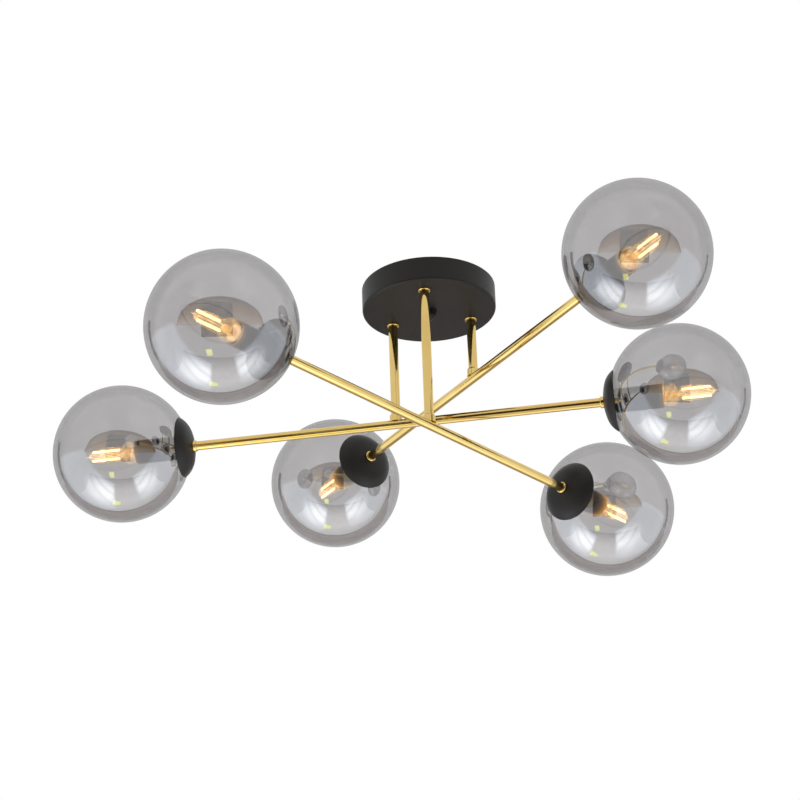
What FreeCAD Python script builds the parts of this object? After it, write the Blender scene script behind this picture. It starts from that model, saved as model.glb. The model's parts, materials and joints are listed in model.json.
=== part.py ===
# Ceiling light with three crossing arms and six glass globes.
# Millimetres, +Z up. The origin is the centre of the face that meets the ceiling, and +X runs along
# the middle arm. Each arm hangs on its own stem and swivels on it, and carries a lamp at each end.
import FreeCAD, Part
import math
import os
import Sketcher

Vector = FreeCAD.Vector
UP = Vector(0, 0, 1)

# Driving sizes, in millimetres
SIZES = {
    # canopy, the pressed-steel rose on the ceiling
    "canopy_radius": 72.5,
    "canopy_height": 27.0,
    "canopy_wall": 1.2,
    "canopy_edge_radius": 2.5,
    # mounting bracket, screwed to the ceiling inside the canopy
    "bracket_half_length": 60.0,
    "bracket_half_width": 11.0,
    "bracket_thickness": 1.6,
    "bracket_corner_radius": 4.0,
    "slot_spacing": 84.0,
    "slot_length": 12.0,
    "slot_width": 5.0,
    "tab_reach": 20.0,
    "block_margin": 2.0,
    # stud through the middle of the bracket, with its nut and the domed nut that holds the canopy
    "stud_radius": 3.0,
    "stud_nut_height": 5.0,
    "stud_nut_flats": 10.0,
    "cap_flange_radius": 8.0,
    "cap_flange_height": 2.0,
    "cap_dome_radius": 7.0,
    "cap_body_height": 4.0,
    "cap_thread_depth": 8.0,
    # terminal block and its screws
    "block_length": 30.0,
    "block_width": 16.0,
    "block_height": 12.0,
    "block_pitch": 16.0,
    "block_wire_radius": 2.0,
    "block_well_radius": 2.2,
    "block_well_depth": 6.0,
    "terminal_screw_length": 4.0,
    "block_wire_depth": 5.0,
    "screw_radius": 1.9,
    "screw_head_radius": 3.6,
    "screw_head_height": 2.4,
    "earth_screw_place": 26.0,
    # tubes of the stems and arms
    "tube_radius": 5.0,
    "tube_wall": 1.0,
    "stem_circle_radius": 49.5,
    "stem_clear_low": 150.0,
    "stem_clear_mid": 110.0,
    "stem_clear_high": 62.0,
    "stem_end_gap": 0.5,
    "thread_stickout": 3.0,
    "stem_ring_radius": 6.6,
    "stem_ring_height": 2.2,
    "stem_ring_round": 0.8,
    "locknut_flats": 14.0,
    "locknut_height": 5.0,
    # collar at the foot of each stem
    "collar_radius": 6.75,
    "collar_height": 6.0,
    "collar_wrap": 2.5,
    "collar_round": 1.6,
    "wire_hole_radius": 3.0,
    # arms
    "arm_half_span": 305.0,
    "end_ring_radius": 6.3,
    "end_ring_length": 3.5,
    "end_ring_round": 1.2,
    # glass globe with its lugged neck
    "globe_radius": 75.0,
    "globe_wall": 2.5,
    "neck_bore_radius": 18.5,
    "neck_wall": 2.2,
    "lug_height": 1.5,
    "lug_thickness": 1.6,
    "lug_half_width": 6.0,
    # cup over the neck, with the gallery inside it that the lugs turn into
    "cup_headroom": 6.0,
    "cup_wall": 1.2,
    "cup_crown_radius": 64.0,
    "cup_break_radius": 20.0,
    "cup_rim_radius": 33.0,
    "cup_rim_land": 1.3,
    "gallery_wall": 0.8,
    "gallery_tab_thickness": 0.8,
    "gallery_tab_half_width": 6.5,
    # lampholder
    "holder_radius": 13.0,
    "holder_wall": 1.2,
    "holder_mouth_reach": 17.0,
    "holder_recess_depth": 7.0,
    "holder_boss_radius": 8.5,
    "holder_boss_length": 8.0,
    "holder_dome_length": 6.0,
    "holder_thread_depth": 10.0,
    "screw_shell_wall": 0.4,
    "screw_shell_length": 22.0,
    "contact_radius": 4.0,
    "contact_height": 1.6,
    # bulb
    "bulb_radius": 17.5,
    "bulb_widest_reach": 8.0,
    "bulb_wall": 0.8,
    "bulb_neck_radius": 6.2,
    "bulb_tip_break_radius": 2.5,
    "bulb_tip_break_reach": 53.0,
    "cap_rim_reach": 23.0,
    "cap_shell_radius": 6.9,
    "cap_shell_length": 18.0,
    "cap_insulator_length": 2.5,
    "cap_contact_radius": 2.4,
    "cap_contact_length": 1.0,
    "bulb_mount_radius": 1.8,
    "filament_start": 2.0,
    "filament_length": 31.0,
    "filament_thickness": 1.5,
    "filament_circle_radius": 4.6,
    "filament_wire": 0.8,
    # clearances
    "part_clearance": 0.3,
    "turning_fit": 0.05,
    "screw_fit": 0.08,
    "seat_gap": 0.05,
}

# Angles about +Z, in degrees, of the first stem hole and of each arm's right-hand end
ANGLES = {
    "stem_first_angle": 33.5,
    "arm_angle_low": 59.0,
    "arm_angle_mid": 0.0,
    "arm_angle_high": -49.0,
}

# Sizes that follow from the driving ones
DERIVED = {
    # canopy and its fittings
    "canopy_bore_radius": "stud_radius + part_clearance",
    "canopy_inner_radius": "canopy_radius - canopy_wall",
    "canopy_floor_depth": "canopy_height - canopy_wall",
    "canopy_edge_start": "canopy_radius - canopy_edge_radius",
    "canopy_edge_depth": "canopy_height - canopy_edge_radius",
    "canopy_inner_edge_radius": "canopy_edge_radius - canopy_wall",
    "stem_hole_radius": "tube_radius + turning_fit",
    "slot_place": "slot_spacing / 2",
    "slot_radius": "slot_width / 2",
    "slot_half_straight": "(slot_length - slot_width) / 2",
    "slot_start": "slot_place - slot_half_straight",
    "slot_end": "slot_place + slot_half_straight",
    "tab_half_length": "block_length / 2 + block_margin",
    "tab_edge": "bracket_half_width + tab_reach",
    "bracket_corner_start": "bracket_half_length - bracket_corner_radius",
    "bracket_corner_side": "bracket_half_width - bracket_corner_radius",
    "tapped_radius": "screw_radius + turning_fit",
    "block_place": "bracket_half_width + tab_reach / 2",
    "block_half_length": "block_length / 2",
    "block_half_width": "block_width / 2",
    "block_floor_depth": "bracket_thickness + block_height",
    "block_wire_place": "bracket_thickness + block_wire_depth",
    "block_way_place": "block_pitch / 2",
    "terminal_screw_radius": "block_well_radius - seat_gap",
    "terminal_screw_end": "block_floor_depth - block_well_depth + terminal_screw_length",
    "stud_nut_circumradius": "stud_nut_flats / sqrt(3)",
    "stud_bore_radius": "stud_radius + turning_fit",
    "stud_depth": "canopy_height + cap_thread_depth",
    "cap_flange_depth": "canopy_height + cap_flange_height",
    "cap_body_depth": "cap_flange_depth + cap_body_height",
    "cap_tip_depth": "cap_body_depth + cap_dome_radius - cap_flange_height",
    "cap_bore_depth": "stud_depth + part_clearance",
    "cap_crown_radius": "(cap_dome_radius^2 + (cap_tip_depth - cap_body_depth)^2) / (2 * (cap_tip_depth - cap_body_depth))",
    # stems
    "tube_bore_radius": "tube_radius - tube_wall",
    "stem_top_depth": "canopy_floor_depth - locknut_height - thread_stickout",
    "locknut_circumradius": "locknut_flats / sqrt(3)",
    "locknut_bore_radius": "tube_radius + turning_fit",
    "stem_ring_depth": "canopy_height + stem_ring_height",
    "stem_ring_round_depth": "stem_ring_depth - stem_ring_round",
    "stem_ring_round_start": "stem_ring_radius - stem_ring_round",
    "arm_depth_low": "canopy_height + stem_clear_low + collar_height + tube_radius",
    "arm_depth_mid": "canopy_height + stem_clear_mid + collar_height + tube_radius",
    "arm_depth_high": "canopy_height + stem_clear_high + collar_height + tube_radius",
    "stem_foot_low": "arm_depth_low - tube_radius - stem_end_gap",
    "stem_foot_mid": "arm_depth_mid - tube_radius - stem_end_gap",
    "stem_foot_high": "arm_depth_high - tube_radius - stem_end_gap",
    "stem_length_low": "stem_foot_low - stem_top_depth",
    "stem_length_mid": "stem_foot_mid - stem_top_depth",
    "stem_length_high": "stem_foot_high - stem_top_depth",
    "saddle_radius": "tube_radius + seat_gap",
    "collar_width": "2 * collar_radius",
    "collar_top": "tube_radius + collar_height",
    "collar_bottom": "tube_radius - collar_wrap",
    "collar_round_top": "collar_top - collar_round",
    "collar_round_start": "collar_radius - collar_round",
    # globe, measured from its centre back towards the arm
    "globe_inner_radius": "globe_radius - globe_wall",
    "neck_radius": "neck_bore_radius + neck_wall",
    "neck_foot": "sqrt(globe_radius^2 - neck_radius^2)",
    "neck_bore_foot": "sqrt(globe_inner_radius^2 - neck_bore_radius^2)",
    "gallery_tab_radius": "neck_radius + part_clearance",
    "gallery_foot": "sqrt(globe_radius^2 - gallery_tab_radius^2) + part_clearance",
    "lug_foot": "gallery_foot + gallery_tab_thickness + part_clearance",
    "neck_end": "lug_foot + lug_thickness",
    "lug_radius": "neck_radius + lug_height",
    "lug_root_radius": "neck_radius - neck_wall / 2",
    "lug_edge": "sqrt(lug_radius^2 - lug_half_width^2)",
    "lug_root_edge": "sqrt(lug_root_radius^2 - lug_half_width^2)",
    # cup: a shallow crown that turns into a tighter shoulder and ends on the globe's curve
    "cup_apex": "neck_end + cup_headroom",
    "cup_bore_radius": "tube_radius + turning_fit",
    "cup_centre": "cup_apex - cup_crown_radius",
    "cup_top_at_bore": "cup_centre + sqrt(cup_crown_radius^2 - cup_bore_radius^2)",
    "cup_break_across": "cup_break_radius / cup_crown_radius",
    "cup_break_along": "sqrt(1 - cup_break_across^2)",
    "cup_break": "cup_centre + cup_crown_radius * cup_break_along",
    "cup_rim_curve": "globe_radius + part_clearance",
    "cup_rim": "sqrt(cup_rim_curve^2 - cup_rim_radius^2)",
    "cup_shoulder_radius":
        "-((cup_rim_radius - cup_break_radius)^2 + (cup_rim - cup_break)^2)"
        " / (2 * ((cup_rim_radius - cup_break_radius) * cup_break_across"
        " + (cup_rim - cup_break) * cup_break_along))",
    "cup_inner_crown_radius": "cup_crown_radius - cup_wall",
    "cup_inner_top_at_bore": "cup_centre + sqrt(cup_inner_crown_radius^2 - cup_bore_radius^2)",
    "cup_inner_break_radius": "cup_inner_crown_radius * cup_break_across",
    "cup_inner_break": "cup_centre + cup_inner_crown_radius * cup_break_along",
    "cup_inner_rim_radius": "cup_rim_radius - cup_rim_land",
    "cup_inner_rim": "sqrt(cup_rim_curve^2 - cup_inner_rim_radius^2)",
    "cup_inner_shoulder_radius":
        "-((cup_inner_rim_radius - cup_inner_break_radius)^2 + (cup_inner_rim - cup_inner_break)^2)"
        " / (2 * ((cup_inner_rim_radius - cup_inner_break_radius) * cup_break_across"
        " + (cup_inner_rim - cup_inner_break) * cup_break_along))",
    # gallery
    "gallery_inner_radius": "lug_radius + part_clearance",
    "gallery_radius": "gallery_inner_radius + gallery_wall",
    "gallery_mid_radius": "gallery_inner_radius + gallery_wall / 2",
    "gallery_shoulder_offset": "cup_inner_break_radius - cup_inner_shoulder_radius * cup_break_across",
    "gallery_seat":
        "cup_inner_break - cup_inner_shoulder_radius * cup_break_along"
        " + sqrt(cup_inner_shoulder_radius^2 - (gallery_radius - gallery_shoulder_offset)^2)"
        " - part_clearance",
    "gallery_tab_edge": "sqrt(gallery_tab_radius^2 - gallery_tab_half_width^2)",
    "gallery_tab_root_edge": "sqrt(gallery_mid_radius^2 - gallery_tab_half_width^2)",
    # end of the arm: the lampholder inside the cup and the ring outside it
    "holder_base":
        "cup_centre + sqrt(cup_inner_crown_radius^2 - holder_boss_radius^2) - seat_gap",
    "tube_end": "holder_base - holder_thread_depth",
    "arm_length": "2 * (arm_half_span - tube_end)",
    "end_ring_end": "cup_apex + end_ring_length",
    "end_ring_round_start": "end_ring_radius - end_ring_round",
    "end_ring_round_end": "end_ring_end - end_ring_round",
    # lampholder, from its base inside the cup to its open mouth
    "holder_boss_end": "holder_base - holder_boss_length",
    "holder_skirt_end": "holder_boss_end - holder_dome_length",
    "holder_dome_radius":
        "((holder_radius - holder_boss_radius)^2 + holder_dome_length^2)"
        " / (2 * (holder_radius - holder_boss_radius))",
    "holder_bore_radius": "tube_radius + turning_fit",
    "holder_thread_end": "tube_end - part_clearance",
    "holder_recess_radius": "holder_radius - holder_wall",
    "holder_recess_floor": "holder_mouth_reach + holder_recess_depth",
    "screw_shell_radius": "cap_shell_radius + screw_fit",
    "screw_shell_outer_radius": "screw_shell_radius + screw_shell_wall",
    "holder_core_radius": "screw_shell_outer_radius + seat_gap",
    "cap_shell_end": "cap_rim_reach + cap_shell_length",
    "cap_insulator_end": "cap_shell_end + cap_insulator_length",
    "cap_end": "cap_insulator_end + cap_contact_length",
    "contact_top": "cap_end + seat_gap",
    "holder_core_floor": "contact_top + contact_height",
    "screw_shell_start": "holder_core_floor - screw_shell_length",
    # bulb
    "bulb_neck_rise": "bulb_widest_reach + cap_rim_reach",
    "bulb_neck_curve":
        "((bulb_radius - bulb_neck_radius)^2 + bulb_neck_rise^2)"
        " / (2 * (bulb_radius - bulb_neck_radius))",
    "bulb_tip_rise": "bulb_tip_break_reach - bulb_widest_reach",
    "bulb_tip_curve":
        "((bulb_radius - bulb_tip_break_radius)^2 + bulb_tip_rise^2)"
        " / (2 * (bulb_radius - bulb_tip_break_radius))",
    "bulb_tip_across":
        "(bulb_tip_break_radius - bulb_radius + bulb_tip_curve) / bulb_tip_curve",
    "bulb_tip_along": "bulb_tip_rise / bulb_tip_curve",
    "bulb_tip_round": "bulb_tip_break_radius / bulb_tip_across",
    "bulb_tip_centre": "bulb_tip_break_reach - bulb_tip_round * bulb_tip_along",
    "bulb_tip": "bulb_tip_centre + bulb_tip_round",
    "bulb_inner_radius": "bulb_radius - bulb_wall",
    "bulb_inner_neck_curve": "bulb_neck_curve - bulb_wall",
    "bulb_inner_neck_radius":
        "bulb_radius - bulb_neck_curve + sqrt(bulb_inner_neck_curve^2 - bulb_neck_rise^2)",
    "bulb_inner_tip_curve": "bulb_tip_curve - bulb_wall",
    "bulb_inner_tip_round": "bulb_tip_round - bulb_wall",
    "bulb_inner_tip_radius": "bulb_inner_tip_round * bulb_tip_across",
    "bulb_inner_tip_reach": "bulb_tip_centre + bulb_inner_tip_round * bulb_tip_along",
    "bulb_inner_tip": "bulb_tip_centre + bulb_inner_tip_round",
    "bulb_mount_length": "cap_rim_reach + filament_start",
    "filament_end": "filament_start + filament_length",
    "filament_span": "2 * filament_circle_radius + filament_thickness",
    "half_filament_span": "filament_span / 2",
    "half_filament": "filament_thickness / 2",
    "half_wire": "filament_wire / 2",
    "filament_offset": "filament_circle_radius - half_filament",
}

ARMS = ("low", "mid", "high")
STEM_PLACES = {"high": 0, "mid": 1, "low": 2}
STEM_COUNT = 3
SIDES = {"left": -1, "right": 1}
LUG_COUNT = 3
FILAMENT_COUNT = 4
BLOCK_WAYS = 2
FULL_TURN = 360.0

document = FreeCAD.newDocument("ceiling_light")
sheet = document.addObject("Spreadsheet::Sheet", "Sizes")
nodes = {}


def fill_sheet():
    """Write every size to the sheet, under its own name."""
    row = 1
    for table in (SIZES, ANGLES, DERIVED):
        for alias, content in table.items():
            text = "=" + content if isinstance(content, str) else str(content)
            sheet.set(f"A{row}", alias)
            sheet.set(f"B{row}", text)
            sheet.setAlias(f"B{row}", alias)
            row += 1
    document.recompute()


def size(alias):
    """The value of a named size; a leading minus turns its sign, and None is zero."""
    if alias is None:
        return 0.0
    if alias.startswith("-"):
        return -float(sheet.get(alias[1:]))
    return float(sheet.get(alias))


def bind(thing, path, alias):
    """Tie a property to a named size of the sheet."""
    if alias.startswith("-"):
        thing.setExpression(path, "-Sizes." + alias[1:])
    else:
        thing.setExpression(path, "Sizes." + alias)


def new_body(label):
    """A new part-design body."""
    body = document.addObject("PartDesign::Body", label)
    body.Label = label
    return body


def new_sketch(body, role, lift=None):
    """A sketch on one of the body's own origin planes, lifted off it by a named size."""
    sketch = body.newObject("Sketcher::SketchObject", body.Name + "_sketch")
    for feature in body.Origin.OriginFeatures:
        if feature.Role == role:
            sketch.AttachmentSupport = [(feature, "")]
    sketch.MapMode = "FlatFace"
    if lift:
        bind(sketch, "AttachmentOffset.Base.z", lift)
    return sketch


def arc_between(start, end, radius, turn):
    """The short arc from start to end that turns left or right."""
    chord = end.sub(start)
    left_side = Vector(-chord.y, chord.x, 0).normalize()
    rise = math.sqrt(max(radius**2 - (chord.Length / 2) ** 2, 0))
    toward = 1 if turn == "left" else -1
    centre = start.add(end).multiply(0.5).add(left_side.multiply(toward * rise))
    first, last = (start, end) if turn == "left" else (end, start)
    begin = math.atan2(first.y - centre.y, first.x - centre.x)
    finish = math.atan2(last.y - centre.y, last.x - centre.x)
    return Part.ArcOfCircle(Part.Circle(centre, UP, radius), begin, finish)


def pin_one_way(sketch, index, point, kind, alias, axis):
    """Hold one point of a curve at a named distance from one axis of the sketch."""
    if alias is None:
        sketch.addConstraint(Sketcher.Constraint("PointOnObject", index, point, axis))
    elif alias.startswith("-"):
        made = sketch.addConstraint(Sketcher.Constraint(kind, index, point, -1, 1, -size(alias)))
        bind(sketch, f"Constraints[{made}]", alias[1:])
    else:
        made = sketch.addConstraint(Sketcher.Constraint(kind, -1, 1, index, point, size(alias)))
        bind(sketch, f"Constraints[{made}]", alias)


def pin_across(sketch, index, point, across):
    """Hold one point of a curve at a named distance across the sketch."""
    pin_one_way(sketch, index, point, "DistanceX", across, -2)


def pin(sketch, index, point, across, along):
    """Hold one point of a curve at named distances from the sketch's origin."""
    pin_across(sketch, index, point, across)
    pin_one_way(sketch, index, point, "DistanceY", along, -1)


def trace(sketch, corners):
    """Draw a closed outline. A corner is (across, along), or (across, along, radius, turn) where an
    arc leads on to the next corner. A half circle also names how far across its centre lies."""
    places = [Vector(size(corner[0]), size(corner[1]), 0) for corner in corners]
    first_index = sketch.GeometryCount
    ends = []
    for number, corner in enumerate(corners):
        start = places[number]
        end = places[(number + 1) % len(corners)]
        if len(corner) == 2:
            sketch.addGeometry(Part.LineSegment(start, end), False)
            ends.append((1, 2))
        else:
            arc = arc_between(start, end, size(corner[2]), corner[3])
            sketch.addGeometry(arc, False)
            ends.append((1, 2) if corner[3] == "left" else (2, 1))
    for number, corner in enumerate(corners):
        index = first_index + number
        following = (number + 1) % len(corners)
        sketch.addConstraint(
            Sketcher.Constraint(
                "Coincident", index, ends[number][1], first_index + following, ends[following][0]
            )
        )
        pin(sketch, index, ends[number][0], corner[0], corner[1])
        if len(corner) > 4:
            pin_across(sketch, index, 3, corner[4])
        elif len(corner) > 2:
            made = sketch.addConstraint(Sketcher.Constraint("Radius", index, size(corner[2])))
            bind(sketch, f"Constraints[{made}]", corner[2])


def circle(sketch, radius, across=None, along=None):
    """Draw a circle of a named radius at a named place."""
    centre = Vector(size(across), size(along), 0)
    index = sketch.addGeometry(Part.Circle(centre, UP, size(radius)), False)
    made = sketch.addConstraint(Sketcher.Constraint("Radius", index, size(radius)))
    bind(sketch, f"Constraints[{made}]", radius)
    pin(sketch, index, 3, across, along)


def revolve(body, corners):
    """Turn an outline of (radius, height) corners about the body's Z axis."""
    sketch = new_sketch(body, "XZ_Plane")
    trace(sketch, corners)
    turned = body.newObject("PartDesign::Revolution", body.Name + "_turned")
    turned.Profile = sketch
    turned.ReferenceAxis = (sketch, ["V_Axis"])
    turned.Angle = FULL_TURN
    return turned


def pad(body, sketch, length, both_ways=False):
    """Raise a sketch by a named length."""
    raised = body.newObject("PartDesign::Pad", body.Name + "_pad")
    raised.Profile = sketch
    bind(raised, "Length", length)
    raised.Midplane = both_ways
    return raised


def pocket(body, sketch, length, reversed_way=False, both_ways=False):
    """Cut a sketch into the body and check that it took material away."""
    document.recompute()
    before = body.Shape.Volume
    cut = body.newObject("PartDesign::Pocket", body.Name + "_pocket")
    cut.Profile = sketch
    bind(cut, "Length", length)
    cut.Reversed = reversed_way
    cut.Midplane = both_ways
    document.recompute()
    if body.Shape.Volume >= before:
        raise RuntimeError(f"{body.Label}: a pocket cut nothing")
    return cut


def polar(body, feature, count):
    """Repeat a feature evenly about the body's Z axis."""
    pattern = body.newObject("PartDesign::PolarPattern", body.Name + "_polar")
    pattern.Originals = [feature]
    for axis in body.Origin.OriginFeatures:
        if axis.Role == "Z_Axis":
            pattern.Axis = (axis, [""])
    pattern.Angle = FULL_TURN
    pattern.Occurrences = count
    body.Tip = pattern
    return pattern


def row_of(body, feature, pitch, count):
    """Repeat a feature along the body's X axis at a named pitch."""
    pattern = body.newObject("PartDesign::LinearPattern", body.Name + "_row")
    pattern.Originals = [feature]
    for axis in body.Origin.OriginFeatures:
        if axis.Role == "X_Axis":
            pattern.Direction = (axis, [""])
    pattern.Length = size(pitch) * (count - 1)
    pattern.setExpression("Length", f"Sizes.{pitch} * {count - 1}")
    pattern.Occurrences = count
    body.Tip = pattern
    return pattern


def primitive(kind, name, **sizes):
    """A Part primitive whose properties are tied to named sizes."""
    thing = document.addObject("Part::" + kind, name)
    for key, alias in sizes.items():
        bind(thing, key, alias)
    return thing


def group(label, pieces):
    """Separate solids that share one node."""
    compound = document.addObject("Part::Compound", label)
    compound.Links = pieces
    return compound


def keep(label, thing):
    """Name a finished sub-part and list it for export."""
    thing.Label = label
    nodes[label] = thing


# Places of the stems, arms and lamps


def stem_placement(arm):
    """The foot of a stem's hole in the ceiling plane."""
    angle = size("stem_first_angle") + STEM_PLACES[arm] * FULL_TURN / STEM_COUNT
    rotation = FreeCAD.Rotation(UP, angle)
    return FreeCAD.Placement(
        rotation.multVec(Vector(size("stem_circle_radius"), 0, 0)), FreeCAD.Rotation()
    )


def arm_placement(arm):
    """An arm's middle, with X along the arm towards its right-hand end."""
    place = stem_placement(arm).Base.sub(Vector(0, 0, size("arm_depth_" + arm)))
    return FreeCAD.Placement(place, FreeCAD.Rotation(UP, size("arm_angle_" + arm)))


def lamp_placement(arm, side):
    """A globe's centre, with Z pointing back along the arm and Y up."""
    arm_place = arm_placement(arm)
    back = arm_place.Rotation.multVec(Vector(-SIDES[side], 0, 0))
    centre = arm_place.multVec(Vector(SIDES[side] * size("arm_half_span"), 0, 0))
    return FreeCAD.Placement(centre, FreeCAD.Rotation(Vector(), UP, back, "ZYX"))


# Ceiling pieces


def make_bracket():
    """Flat strap with a side tab, two slots for the ceiling screws and three small holes."""
    body = new_body("mounting_bracket")
    plan = new_sketch(body, "XY_Plane", "-bracket_thickness")
    trace(plan, [
        ("bracket_corner_start", "-bracket_half_width", "bracket_corner_radius", "left"),
        ("bracket_half_length", "-bracket_corner_side"),
        ("bracket_half_length", "bracket_corner_side", "bracket_corner_radius", "left"),
        ("bracket_corner_start", "bracket_half_width"),
        ("tab_half_length", "bracket_half_width"),
        ("tab_half_length", "tab_edge"),
        ("-tab_half_length", "tab_edge"),
        ("-tab_half_length", "bracket_half_width"),
        ("-bracket_corner_start", "bracket_half_width", "bracket_corner_radius", "left"),
        ("-bracket_half_length", "bracket_corner_side"),
        ("-bracket_half_length", "-bracket_corner_side", "bracket_corner_radius", "left"),
        ("-bracket_corner_start", "-bracket_half_width"),
    ])
    pad(body, plan, "bracket_thickness")
    holes = new_sketch(body, "XY_Plane")
    for sign, flip in (("", "-"), ("-", "")):
        near, far = sign + "slot_start", sign + "slot_end"
        low, high = flip + "slot_radius", sign + "slot_radius"
        trace(holes, [(near, low), (far, low, "slot_radius", "left", far), (far, high),
                      (near, high, "slot_radius", "left", near)])
    circle(holes, "stud_bore_radius")
    circle(holes, "tapped_radius", "earth_screw_place")
    circle(holes, "tapped_radius", None, "block_place")
    pocket(body, holes, "bracket_thickness")
    keep("mounting_bracket", body)


def make_stud():
    """Threaded stud, flush with the top of the bracket, and the nut that locks it there."""
    stud = primitive("Cylinder", "centre_stud", Radius="stud_radius", Height="stud_depth")
    stud.Placement.Base = Vector(0, 0, -size("stud_depth"))
    keep("centre_stud", stud)
    nut = hex_nut("stud_nut", "stud_nut_circumradius", "stud_nut_height", "stud_bore_radius")
    nut.Placement.Base = Vector(0, 0, -size("bracket_thickness") - size("stud_nut_height"))
    keep("stud_nut", nut)


def hex_nut(name, circumradius, height, bore_radius):
    """A hexagonal nut that stands on the XY plane."""
    blank = primitive("Prism", name + "_blank", Circumradius=circumradius, Height=height)
    bore = primitive("Cylinder", name + "_bore", Radius=bore_radius, Height=height)
    nut = document.addObject("Part::Cut", name)
    nut.Base = blank
    nut.Tool = bore
    return nut


def make_canopy():
    """Round pressed-steel pan, open to the ceiling, with a hole for each stem."""
    body = new_body("canopy")
    revolve(body, [
        ("canopy_radius", None),
        ("canopy_inner_radius", None),
        ("canopy_inner_radius", "-canopy_edge_depth", "canopy_inner_edge_radius", "right"),
        ("canopy_edge_start", "-canopy_floor_depth"),
        ("canopy_bore_radius", "-canopy_floor_depth"),
        ("canopy_bore_radius", "-canopy_height"),
        ("canopy_edge_start", "-canopy_height", "canopy_edge_radius", "left"),
        ("canopy_radius", "-canopy_edge_depth"),
    ])
    hole = new_sketch(body, "XY_Plane", "-canopy_floor_depth")
    circle(hole, "stem_hole_radius", "stem_circle_radius")
    polar(body, pocket(body, hole, "canopy_wall"), STEM_COUNT)
    body.Placement.Rotation = FreeCAD.Rotation(UP, size("stem_first_angle"))
    keep("canopy", body)


def make_cap_nut():
    """Domed nut on the stud that holds the canopy up, with a flange against the canopy."""
    body = new_body("canopy_cap_nut")
    revolve(body, [
        ("stud_bore_radius", "-canopy_height"),
        ("stud_bore_radius", "-cap_bore_depth"),
        (None, "-cap_bore_depth"),
        (None, "-cap_tip_depth", "cap_crown_radius", "left"),
        ("cap_dome_radius", "-cap_body_depth"),
        ("cap_dome_radius", "-cap_flange_depth"),
        ("cap_flange_radius", "-cap_flange_depth"),
        ("cap_flange_radius", "-canopy_height"),
    ])
    keep("canopy_cap_nut", body)


def make_terminal_block():
    """Two-way block under the bracket's tab: wire holes right through, screw wells from below."""
    body = new_body("terminal_block")
    plan = new_sketch(body, "XY_Plane", "-block_floor_depth")
    trace(plan, [
        ("block_half_length", "-block_half_width"),
        ("block_half_length", "block_half_width"),
        ("-block_half_length", "block_half_width"),
        ("-block_half_length", "-block_half_width"),
    ])
    pad(body, plan, "block_height")
    wires = new_sketch(body, "XZ_Plane")
    circle(wires, "block_wire_radius", "-block_way_place", "-block_wire_place")
    through = pocket(body, wires, "block_width", both_ways=True)
    row_of(body, through, "block_pitch", BLOCK_WAYS)
    wells = new_sketch(body, "XY_Plane", "-block_floor_depth")
    circle(wells, "block_well_radius", "-block_way_place")
    well = pocket(body, wells, "block_well_depth", reversed_way=True)
    row_of(body, well, "block_pitch", BLOCK_WAYS)
    screw_way = new_sketch(body, "XY_Plane")
    circle(screw_way, "tapped_radius")
    pocket(body, screw_way, "block_floor_depth")
    body.Placement.Base = Vector(0, size("block_place"), 0)
    keep("terminal_block", body)


def make_screw(name, length):
    """A screw with a flat round head, from below."""
    head = primitive("Cylinder", name + "_head", Radius="screw_head_radius",
                     Height="screw_head_height")
    shank = primitive("Cylinder", name + "_shank", Radius="screw_radius", Height=length)
    shank.Placement.Base = Vector(0, 0, size("screw_head_height"))
    screw = document.addObject("Part::Fuse", name)
    screw.Base = head
    screw.Tool = shank
    return screw


def make_bracket_screws():
    """The earth screw, and the screw that holds the terminal block to the bracket."""
    earth = make_screw("earth_screw", "bracket_thickness")
    earth.Placement.Base = Vector(
        size("earth_screw_place"), 0, -size("bracket_thickness") - size("screw_head_height")
    )
    keep("earth_screw", earth)
    block = make_screw("block_screw", "block_floor_depth")
    block.Placement.Base = Vector(
        0, size("block_place"), -size("block_floor_depth") - size("screw_head_height")
    )
    keep("block_screw", block)


def make_terminal_screws():
    """One clamping screw in each well of the terminal block, seated on its floor."""
    screws = []
    for number in range(BLOCK_WAYS):
        screw = primitive("Cylinder", f"terminal_screw_{number}", Radius="terminal_screw_radius",
                          Height="terminal_screw_length")
        shift = (number - (BLOCK_WAYS - 1) / 2) * size("block_pitch")
        screw.Placement.Base = Vector(
            shift, size("block_place"), -size("terminal_screw_end")
        )
        screws.append(screw)
    keep("terminal_screws", group("terminal_screws", screws))


# Stems


def make_stem(arm):
    """Straight tube from inside the canopy down into the arm's collar."""
    body = new_body("stem_" + arm)
    section = new_sketch(body, "XY_Plane", "-stem_foot_" + arm)
    circle(section, "tube_radius")
    circle(section, "tube_bore_radius")
    pad(body, section, "stem_length_" + arm)
    body.Placement = stem_placement(arm)
    keep("stem_" + arm, body)


def make_stem_fittings():
    """Polished ring under the canopy and hexagonal nut inside it, on every stem."""
    rings = []
    nuts = []
    for arm in ARMS:
        ring = new_body("stem_ring_" + arm)
        revolve(ring, [
            ("stem_hole_radius", "-canopy_height"),
            ("stem_hole_radius", "-stem_ring_depth"),
            ("stem_ring_round_start", "-stem_ring_depth", "stem_ring_round", "left"),
            ("stem_ring_radius", "-stem_ring_round_depth"),
            ("stem_ring_radius", "-canopy_height"),
        ])
        ring.Placement = stem_placement(arm)
        rings.append(ring)
        nut = hex_nut("stem_nut_" + arm, "locknut_circumradius", "locknut_height",
                      "stem_hole_radius")
        nut.Placement.Base = stem_placement(arm).Base.sub(Vector(0, 0, size("canopy_floor_depth")))
        nuts.append(nut)
    keep("stem_rings", group("stem_rings", rings))
    keep("stem_nuts", group("stem_nuts", nuts))


# Arms


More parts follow.
